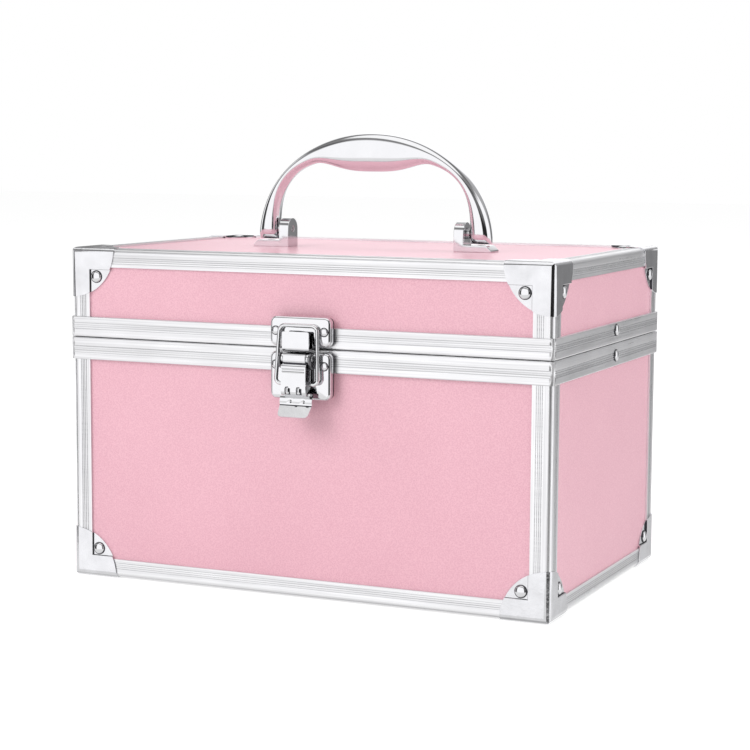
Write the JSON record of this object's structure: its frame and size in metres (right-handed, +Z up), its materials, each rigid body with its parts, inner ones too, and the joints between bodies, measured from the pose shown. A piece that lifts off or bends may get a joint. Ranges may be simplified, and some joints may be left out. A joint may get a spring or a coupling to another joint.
{
  "type": "cosmetics case",
  "caption": "Small hard-sided makeup storage case with covered board panels in an aluminium frame, corner caps, a hinged lid on folding stays, a lever latch and a folding carrying handle.",
  "frame": {"origin": "centre of the closed case's footprint, latch and hinges included, at floor level under the corner caps", "axes": "+Z up; -Y out of the front with the latch, +Y towards the hinges; +X to the case's own width, to the right when facing the latch"},
  "size_m": [0.2538, 0.1798, 0.2194],
  "materials": {
    "pink_board": "board covered in pink film with a fine pebble grain, satin",
    "aluminium": "satin, finely grooved lengthwise",
    "chrome": "polished",
    "lining": "matte, short pile",
    "mirror": "silvered glass"
  },
  "bodies": {
    "case": {"body_front_panel": "pink_board", "body_back_panel": "pink_board", "body_left_panel": "pink_board", "body_right_panel": "pink_board", "body_bottom_panel": "pink_board", "base_rail_front": "aluminium", "base_rail_back": "aluminium", "base_rail_left": "aluminium", "base_rail_right": "aluminium", "body_posts": "aluminium", "body_rim_front": "aluminium", "body_rim_back": "aluminium", "body_rim_left": "aluminium", "body_rim_right": "aluminium", "body_lining": "lining", "base_cap_front_left": "chrome", "base_cap_front_right": "chrome", "base_cap_back_left": "chrome", "base_cap_back_right": "chrome", "body_rivets": "chrome", "latch_base_plate": "chrome", "latch_pin": "chrome", "hinge_body_leaves": "chrome", "hinge_pins": "chrome"},
    "lid": {"lid_top_panel": "pink_board", "lid_front_panel": "pink_board", "lid_back_panel": "pink_board", "lid_left_panel": "pink_board", "lid_right_panel": "pink_board", "lid_rail_front": "aluminium", "lid_rail_back": "aluminium", "lid_rail_left": "aluminium", "lid_rail_right": "aluminium", "lid_posts": "aluminium", "lid_rim_front": "aluminium", "lid_rim_back": "aluminium", "lid_rim_left": "aluminium", "lid_rim_right": "aluminium", "lid_lining": "lining", "lid_cap_front_left": "chrome", "lid_cap_front_right": "chrome", "lid_cap_back_left": "chrome", "lid_cap_back_right": "chrome", "lid_rivets": "chrome", "latch_keeper": "chrome", "hinge_lid_leaves": "chrome", "mirror": "mirror", "mirror_clips": "chrome", "handle_bracket_left": "chrome", "handle_bracket_right": "chrome", "handle_pins": "chrome", "handle_screws": "chrome"},
    "handle": {"handle_bow": "chrome"},
    "latch_lever_body": {"latch_lever": "chrome"},
    "latch_bail_body": {"latch_bail": "chrome"},
    "stay_lower_left": {"stay_lower_link_left": "chrome"},
    "stay_upper_left": {"stay_upper_link_left": "chrome"},
    "stay_lower_right": {"stay_lower_link_right": "chrome"},
    "stay_upper_right": {"stay_upper_link_right": "chrome"}
  },
  "joints": [
    {"name": "lid_hinge", "type": "hinge", "parent": "case", "child": "lid", "pos_m": [0, 0.0878, 0.11945], "axis": [-1, 0, 0], "range_deg": [0, 100]},
    {"name": "handle_hinge", "type": "hinge", "parent": "lid", "child": "handle", "pos_m": [0.0012, 0.00395, 0.171], "axis": [1, 0, 0], "range_deg": [-90, 90]},
    {"name": "latch_lever_hinge", "type": "hinge", "parent": "case", "child": "latch_lever_body", "pos_m": [0.0027, -0.08635, 0.1157], "axis": [-1, 0, 0], "range_deg": [0, 130]},
    {"name": "latch_bail_hinge", "type": "hinge", "parent": "latch_lever_body", "child": "latch_bail_body", "pos_m": [0.0027, -0.08555, 0.1037], "axis": [-1, 0, 0], "range_deg": [-130, 0]},
    {"name": "stay_left_body_pivot", "type": "hinge", "parent": "case", "child": "stay_lower_left", "pos_m": [-0.11785, 0.01307, 0.1136], "axis": [-1, 0, 0], "range_deg": [0, 100]},
    {"name": "stay_left_lid_pivot", "type": "hinge", "parent": "lid", "child": "stay_upper_left", "pos_m": [-0.11685, 0.01313, 0.12595], "axis": [-1, 0, 0], "range_deg": [-100, 0]},
    {"name": "stay_right_body_pivot", "type": "hinge", "parent": "case", "child": "stay_lower_right", "pos_m": [0.11785, 0.01307, 0.1136], "axis": [-1, 0, 0], "range_deg": [0, 100]},
    {"name": "stay_right_lid_pivot", "type": "hinge", "parent": "lid", "child": "stay_upper_right", "pos_m": [0.11685, 0.01313, 0.12595], "axis": [-1, 0, 0], "range_deg": [-100, 0]}
  ],
  "couplings": [
    {"joint": "latch_bail_hinge", "follows": "latch_lever_hinge", "ratio": -1},
    {"joint": "stay_left_body_pivot", "follows": "lid_hinge", "ratio": 1},
    {"joint": "stay_left_lid_pivot", "follows": "lid_hinge", "ratio": -1},
    {"joint": "stay_right_body_pivot", "follows": "lid_hinge", "ratio": 1},
    {"joint": "stay_right_lid_pivot", "follows": "lid_hinge", "ratio": -1}
  ]
}
